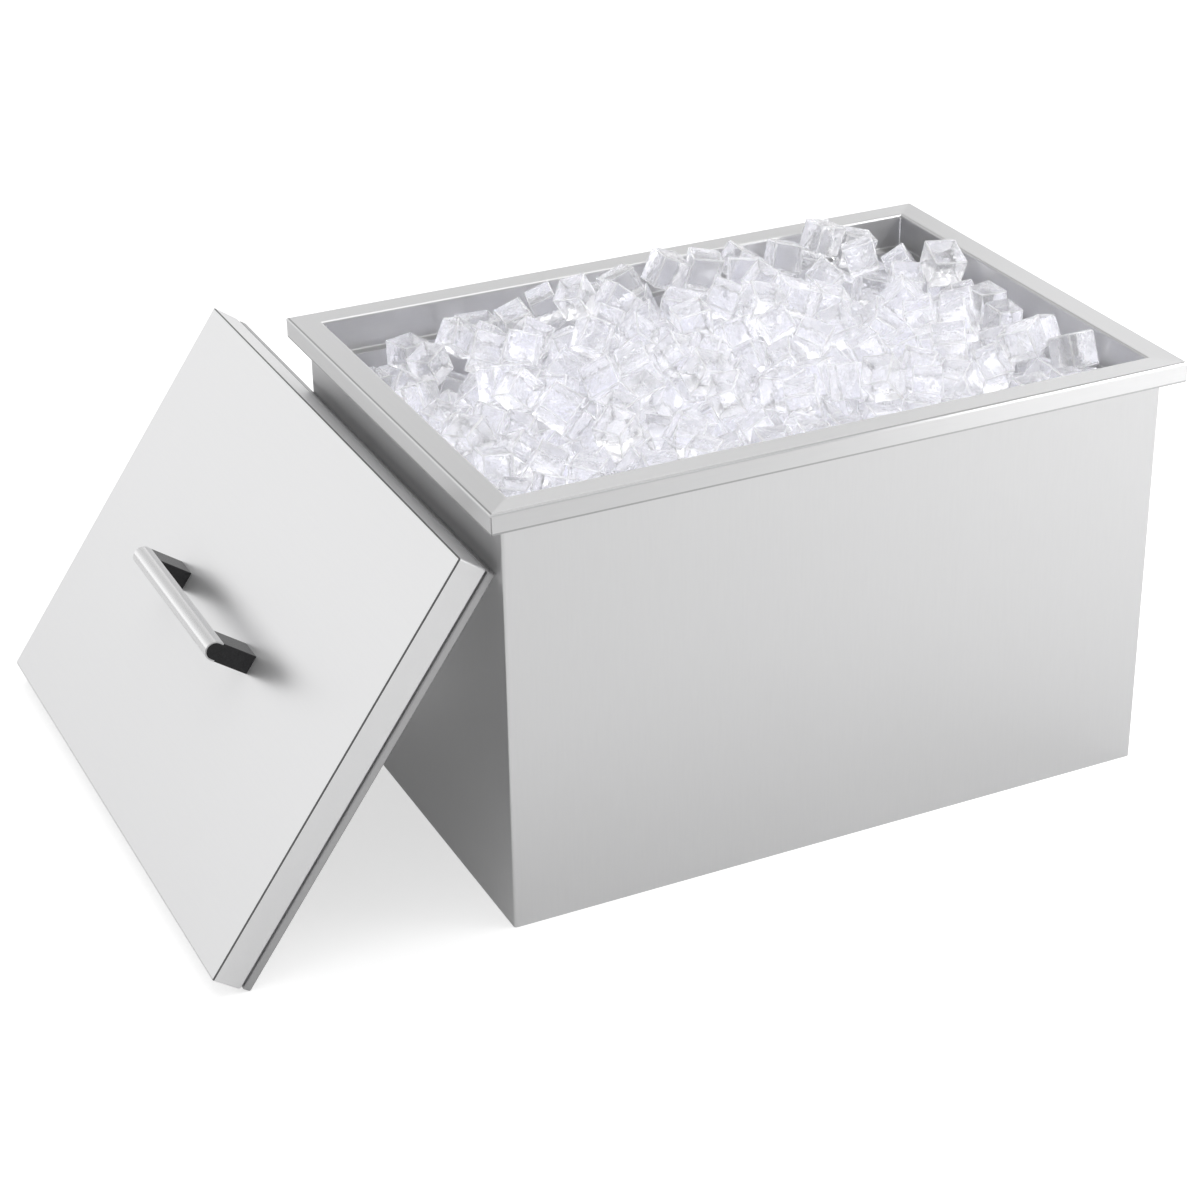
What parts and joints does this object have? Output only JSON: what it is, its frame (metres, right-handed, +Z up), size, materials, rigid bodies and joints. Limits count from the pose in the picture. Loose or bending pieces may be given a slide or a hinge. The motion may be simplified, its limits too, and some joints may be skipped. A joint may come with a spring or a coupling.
{
  "type": "drop-in ice bin",
  "caption": "Insulated stainless steel drop-in ice bin with an overhanging rim, a floor drain with plug, and a lift-off lid with a bar handle leaning on its end.",
  "frame": {"origin": "on the floor under the middle of the bin's base", "axes": "+X along the bin's length away from the leaning lid, +Y to the back, +Z up"},
  "size_m": [0.6981, 0.487, 0.308],
  "materials": {
    "satin_stainless": "satin brushed",
    "polished_stainless": "turned and polished",
    "rigid_foam": "rigid closed-cell foam",
    "black_rubber": "matte",
    "handle_metal": "satin",
    "handle_plastic": "satin black",
    "zinc_hardware": "bright zinc"
  },
  "bodies": {
    "bin": {"rim_front": "satin_stainless", "tank_front_wall": "satin_stainless", "casing_front": "satin_stainless", "insulation_front": "rigid_foam", "rim_back": "satin_stainless", "tank_back_wall": "satin_stainless", "casing_back": "satin_stainless", "insulation_back": "rigid_foam", "rim_left": "satin_stainless", "tank_left_wall": "satin_stainless", "casing_left": "satin_stainless", "insulation_left": "rigid_foam", "rim_right": "satin_stainless", "tank_right_wall": "satin_stainless", "casing_right": "satin_stainless", "insulation_right": "rigid_foam", "tank_floor": "satin_stainless", "casing_base": "satin_stainless", "insulation_bottom": "rigid_foam", "drain_body": "polished_stainless", "drain_gasket": "black_rubber", "drain_lock_nut": "polished_stainless", "drain_strainer": "polished_stainless"},
    "lid": {"lid_top_pan": "satin_stainless", "lid_bottom_pan": "satin_stainless", "lid_insulation": "rigid_foam", "handle_bar": "handle_metal", "handle_leg_front": "handle_plastic", "handle_leg_back": "handle_plastic", "handle_screws": "zinc_hardware", "handle_washers": "zinc_hardware"},
    "plug": {"drain_plug": "black_rubber"}
  },
  "joints": [
    {"name": "lid_lift", "type": "slide", "parent": "bin", "child": "lid", "axis": [-0.8192, 0, 0.5736], "range_m": [0, 0.3]},
    {"name": "plug_lift", "type": "slide", "parent": "bin", "child": "plug", "axis": [0, 0, 1], "range_m": [0, 0.09]}
  ]
}
